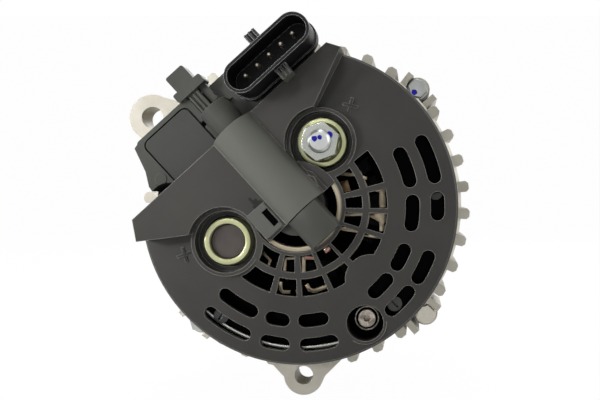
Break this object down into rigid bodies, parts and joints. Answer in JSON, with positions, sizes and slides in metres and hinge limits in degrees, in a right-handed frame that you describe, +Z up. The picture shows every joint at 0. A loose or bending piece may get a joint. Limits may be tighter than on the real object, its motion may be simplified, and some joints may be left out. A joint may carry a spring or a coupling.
{
  "type": "alternator",
  "caption": "Belt-driven vehicle alternator with cast aluminium housings, vented rear cover, regulator with round-ended plug socket, threaded terminal and ribbed belt pulley.",
  "frame": {"origin": "on the shaft's axis, in the middle plane of the pulley's belt grooves", "axes": "+Y along the shaft towards the pulley nut, +Z up as in the picture, +X to the right seen from the cover end"},
  "size_m": [0.1624, 0.197, 0.173],
  "materials": {
    "cast_aluminium": "as-cast satin",
    "lamination": "varnished",
    "copper_winding": "enamelled",
    "copper_bare": "polished",
    "zinc_steel": "zinc plated",
    "yellow_zinc": "yellow zinc plated",
    "bearing_steel": "ground",
    "cage": "plain",
    "shaft_steel": "ground",
    "pole_iron": "painted",
    "sheet_steel": "pressed sheet",
    "bobbin_plastic": "plain",
    "pulley_steel": "black",
    "cover_plastic": "fine grain",
    "regulator_plastic": "fine grain",
    "lid_plastic": "smooth",
    "board_plastic": "plain",
    "tinned": "tinned",
    "sink_aluminium": "plain sheet",
    "diode_case": "nickel plated",
    "carbon": "carbon",
    "spring_steel": "plain"
  },
  "bodies": {
    "stator_side": {"drive_end_housing": "cast_aluminium", "slip_ring_end_housing": "cast_aluminium", "stator_core": "lamination", "stator_winding": "copper_winding", "through_bolts": "zinc_steel", "front_bearing_outer": "bearing_steel", "bearing_retainer": "sheet_steel", "retainer_screws": "zinc_steel", "rear_bearing_outer": "bearing_steel", "negative_heat_sink": "sink_aluminium", "negative_diodes": "diode_case", "terminal_board": "board_plastic", "positive_heat_sink": "sink_aluminium", "positive_diodes": "diode_case", "rectifier_screws": "zinc_steel", "phase_leads": "copper_bare", "terminal_stud": "zinc_steel", "terminal_bushing": "yellow_zinc", "terminal_nut": "zinc_steel", "spare_bushing": "yellow_zinc", "regulator_housing": "regulator_plastic", "regulator_lid": "lid_plastic", "regulator_screws": "zinc_steel", "connector_pins": "tinned", "slip_ring_cap": "regulator_plastic", "front_brush_spring": "spring_steel", "rear_brush_spring": "spring_steel", "rear_cover": "cover_plastic", "cover_screw": "zinc_steel"},
    "rotor": {"rotor_shaft": "shaft_steel", "front_claw_pole": "pole_iron", "rear_claw_pole": "pole_iron", "coil_bobbin": "bobbin_plastic", "field_coil": "copper_winding", "front_fan": "sheet_steel", "rear_fan": "sheet_steel", "slip_ring_carrier": "board_plastic", "slip_rings": "copper_bare", "front_bearing_inner": "bearing_steel", "rear_bearing_inner": "bearing_steel", "pulley_spacer": "shaft_steel", "pulley": "pulley_steel", "pulley_nut": "zinc_steel"},
    "front_balls": {"front_bearing_cage": "cage"},
    "rear_balls": {"rear_bearing_cage": "cage"},
    "front_brush_slider": {"front_brush": "carbon"},
    "rear_brush_slider": {"rear_brush": "carbon"}
  },
  "joints": [
    {"name": "rotor_spin", "type": "hinge", "parent": "stator_side", "child": "rotor", "pos_m": [0, 0, 0], "axis": [0, 1, 0], "continuous": true},
    {"name": "front_balls_spin", "type": "hinge", "parent": "stator_side", "child": "front_balls", "pos_m": [0, -0.029, 0], "axis": [0, 1, 0], "continuous": true},
    {"name": "rear_balls_spin", "type": "hinge", "parent": "stator_side", "child": "rear_balls", "pos_m": [0, -0.1325, 0], "axis": [0, 1, 0], "continuous": true},
    {"name": "front_brush_slide", "type": "slide", "parent": "stator_side", "child": "front_brush_slider", "axis": [0.6749, 0, -0.7379], "range_m": [-0.006, 0], "stiffness_N_per_m": 250, "springref_m": 0.012, "deforming": ["front_brush_spring"]},
    {"name": "rear_brush_slide", "type": "slide", "parent": "stator_side", "child": "rear_brush_slider", "axis": [0.6749, 0, -0.7379], "range_m": [-0.006, 0], "stiffness_N_per_m": 250, "springref_m": 0.012, "deforming": ["rear_brush_spring"]}
  ],
  "couplings": [
    {"joint": "front_balls_spin", "follows": "rotor_spin", "ratio": 0.375},
    {"joint": "rear_balls_spin", "follows": "rotor_spin", "ratio": 0.38}
  ]
}
